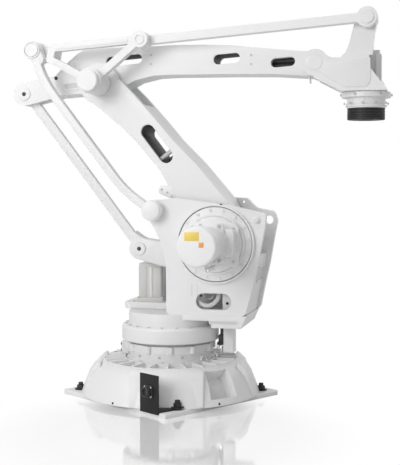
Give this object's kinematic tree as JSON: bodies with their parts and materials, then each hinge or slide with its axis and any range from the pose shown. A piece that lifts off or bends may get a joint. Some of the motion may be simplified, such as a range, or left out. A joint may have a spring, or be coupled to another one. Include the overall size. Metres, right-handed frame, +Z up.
{
  "type": "palletizing robot arm",
  "caption": "Floor-standing industrial palletizing arm with parallel rods that keep the tool flange level.",
  "frame": {"origin": "on the floor at the turning axis, the centre of the base's four bolt holes", "axes": "+X runs forward along the arm towards the tool, +Y to the arm's left side, +Z up the turning axis"},
  "size_m": [1.8153, 1.07, 1.797],
  "materials": {
    "white_paint": "semi-gloss",
    "motor_grey": "satin",
    "black_steel": "satin",
    "black_plastic": "matte",
    "bare_steel": "turned"
  },
  "bodies": {
    "base": {"base_plate": "white_paint", "base_casting": "white_paint", "bearing_drum": "white_paint", "turning_stop": "white_paint", "connector_bracket": "black_steel", "connector_socket": "black_plastic"},
    "turntable": {"turntable_ring": "white_paint", "near_wall": "white_paint", "far_wall": "white_paint", "frame_skirt": "white_paint", "front_web": "white_paint", "pivot_bracket": "white_paint", "lower_rod_pin": "bare_steel", "near_gear_cover": "white_paint", "near_motor_adapter": "white_paint", "near_motor": "motor_grey", "near_motor_cap": "white_paint", "far_gear_cover": "white_paint", "far_motor_adapter": "white_paint", "far_motor": "motor_grey", "far_motor_cap": "white_paint", "far_gear_hub": "bare_steel", "near_gear_hub": "bare_steel", "rear_platform": "white_paint", "turning_motor": "motor_grey", "cable_duct": "white_paint"},
    "lower_arm": {"lower_arm": "white_paint", "elbow_pin": "bare_steel"},
    "crank": {"crank": "white_paint"},
    "crank_pin": {"crank_pin": "bare_steel"},
    "parallel_rod": {"parallel_rod": "white_paint"},
    "lower_link_rod": {"lower_link_rod": "white_paint"},
    "link": {"link": "white_paint", "elbow_cap": "white_paint"},
    "upper_arm": {"upper_arm": "white_paint", "parallel_rod_pin": "bare_steel"},
    "upper_link_rod": {"upper_link_rod": "white_paint"},
    "tilt_housing": {"tilt_housing": "white_paint", "wrist_pin": "bare_steel", "wrist_gearbox": "white_paint", "wrist_motor": "motor_grey"},
    "tool_flange": {"tool_flange": "black_steel"}
  },
  "joints": [
    {"name": "turntable_turn", "type": "hinge", "parent": "base", "child": "turntable", "pos_m": [0, 0, 0.27], "axis": [0, 0, 1], "range_deg": [-165, 165]},
    {"name": "lower_arm_swing", "type": "hinge", "parent": "turntable", "child": "lower_arm", "pos_m": [0.26, 0, 0.7425], "axis": [0, 1, 0], "range_deg": [-2.3, 82.6]},
    {"name": "crank_swing", "type": "hinge", "parent": "turntable", "child": "crank", "pos_m": [0.26, 0, 0.7425], "axis": [0, 1, 0], "range_deg": [-16.1, 24.1]},
    {"name": "crank_pin_turn", "type": "hinge", "parent": "crank", "child": "crank_pin", "pos_m": [-0.1449, 0, 0.7063], "axis": [0, 1, 0], "range_deg": [-24.1, 16.1]},
    {"name": "parallel_rod_swing", "type": "hinge", "parent": "crank_pin", "child": "parallel_rod", "pos_m": [-0.1449, 0, 0.7063], "axis": [0, 1, 0], "range_deg": [-2.4, 82.7]},
    {"name": "lower_rod_swing", "type": "hinge", "parent": "turntable", "child": "lower_link_rod", "pos_m": [-0.0329, 0, 0.8952], "axis": [0, 1, 0], "range_deg": [-2.4, 82.7]},
    {"name": "link_swing", "type": "hinge", "parent": "lower_arm", "child": "link", "pos_m": [-0.31763, 0, 1.49041], "axis": [0, 1, 0], "range_deg": [-82.7, 2.4]},
    {"name": "upper_arm_swing", "type": "hinge", "parent": "link", "child": "upper_arm", "pos_m": [-0.31763, 0, 1.49041], "axis": [0, 1, 0], "range_deg": [-16, 24]},
    {"name": "upper_rod_swing", "type": "hinge", "parent": "link", "child": "upper_link_rod", "pos_m": [-0.08623, 0, 1.67881], "axis": [0, 1, 0], "range_deg": [-16.1, 24.1]},
    {"name": "tilt_swing", "type": "hinge", "parent": "upper_arm", "child": "tilt_housing", "pos_m": [0.70482, 0, 1.56262], "axis": [0, 1, 0], "range_deg": [-24.1, 16.1]},
    {"name": "tool_turn", "type": "hinge", "parent": "tilt_housing", "child": "tool_flange", "pos_m": [0.92482, 0, 1.30962], "axis": [0, 0, 1], "range_deg": [-300, 300]}
  ],
  "couplings": [
    {"joint": "crank_swing", "follows": "upper_arm_swing", "ratio": 1},
    {"joint": "crank_pin_turn", "follows": "upper_arm_swing", "ratio": -1},
    {"joint": "parallel_rod_swing", "follows": "lower_arm_swing", "ratio": 1},
    {"joint": "lower_rod_swing", "follows": "lower_arm_swing", "ratio": 1},
    {"joint": "link_swing", "follows": "lower_arm_swing", "ratio": -1},
    {"joint": "upper_rod_swing", "follows": "upper_arm_swing", "ratio": 1},
    {"joint": "tilt_swing", "follows": "upper_arm_swing", "ratio": -1}
  ]
}
